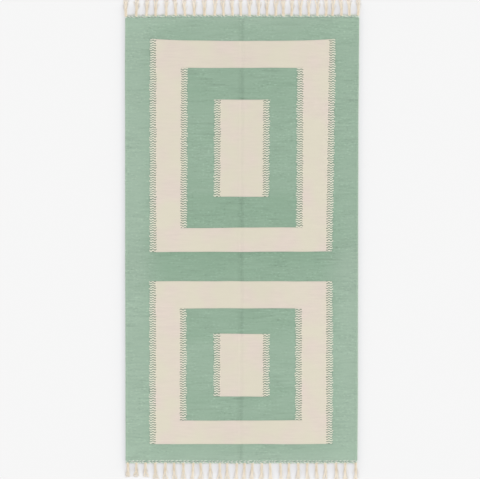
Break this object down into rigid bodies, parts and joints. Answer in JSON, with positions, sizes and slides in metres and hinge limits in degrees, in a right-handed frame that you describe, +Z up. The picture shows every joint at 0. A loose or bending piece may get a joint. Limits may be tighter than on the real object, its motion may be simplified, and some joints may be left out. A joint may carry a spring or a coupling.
{
  "type": "kilim runner",
  "caption": "Flat-woven wool runner lying flat, with nested two-colour rectangles, a twined heading and a knotted warp fringe at both ends.",
  "frame": {"origin": "middle of the runner's footprint, on the floor it lies on", "axes": "+Z up from the floor, +X across the width towards the right of the picture, +Y along the length towards the top of the picture"},
  "size_m": [0.7106, 1.4624, 0.005],
  "materials": {
    "woven_wool": "matte tapestry-woven wool in sea green and natural cream",
    "warp_cotton": "matte unbleached cotton warp, knotted and plied"
  },
  "bodies": {
    "root": {"rug_body": "woven_wool", "fringe_far_end": "warp_cotton", "fringe_near_end": "warp_cotton"}
  },
  "joints": []
}
